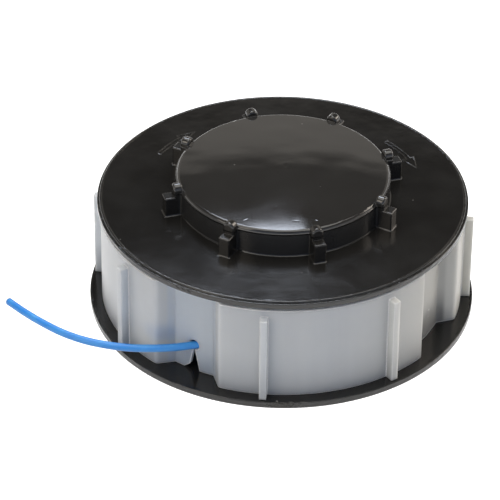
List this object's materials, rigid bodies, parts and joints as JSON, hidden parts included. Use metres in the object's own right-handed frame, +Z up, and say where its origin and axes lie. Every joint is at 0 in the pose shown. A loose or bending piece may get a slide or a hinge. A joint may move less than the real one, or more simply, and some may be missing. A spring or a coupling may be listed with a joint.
{
  "type": "trimmer line spool",
  "caption": "Flanged spool for a grass trimmer, with a hollow hub, a domed boss with feed lugs, wound nylon line and a loose guard band that the line leaves by a keyhole.",
  "frame": {"origin": "middle of the lower flange's underside, on the spool's axis", "axes": "+Z up along the spool's axis towards the domed boss, -Y towards the side that the picture shows, -X towards the free end of the line"},
  "size_m": [0.0929, 0.077, 0.0303],
  "materials": {
    "black_plastic": "black moulded plastic, glossy, with fine handling marks",
    "natural_plastic": "undyed translucent moulded plastic, satin",
    "blue_nylon": "extruded nylon line, smooth satin"
  },
  "bodies": {
    "spool": {"spool": "black_plastic", "wound_line": "blue_nylon"},
    "guard_band": {"guard_band": "natural_plastic", "line_tail": "blue_nylon"}
  },
  "joints": [
    {"name": "band_turn", "type": "hinge", "parent": "spool", "child": "guard_band", "pos_m": [0, 0, 0.0115], "axis": [0, 0, 1], "continuous": true}
  ]
}
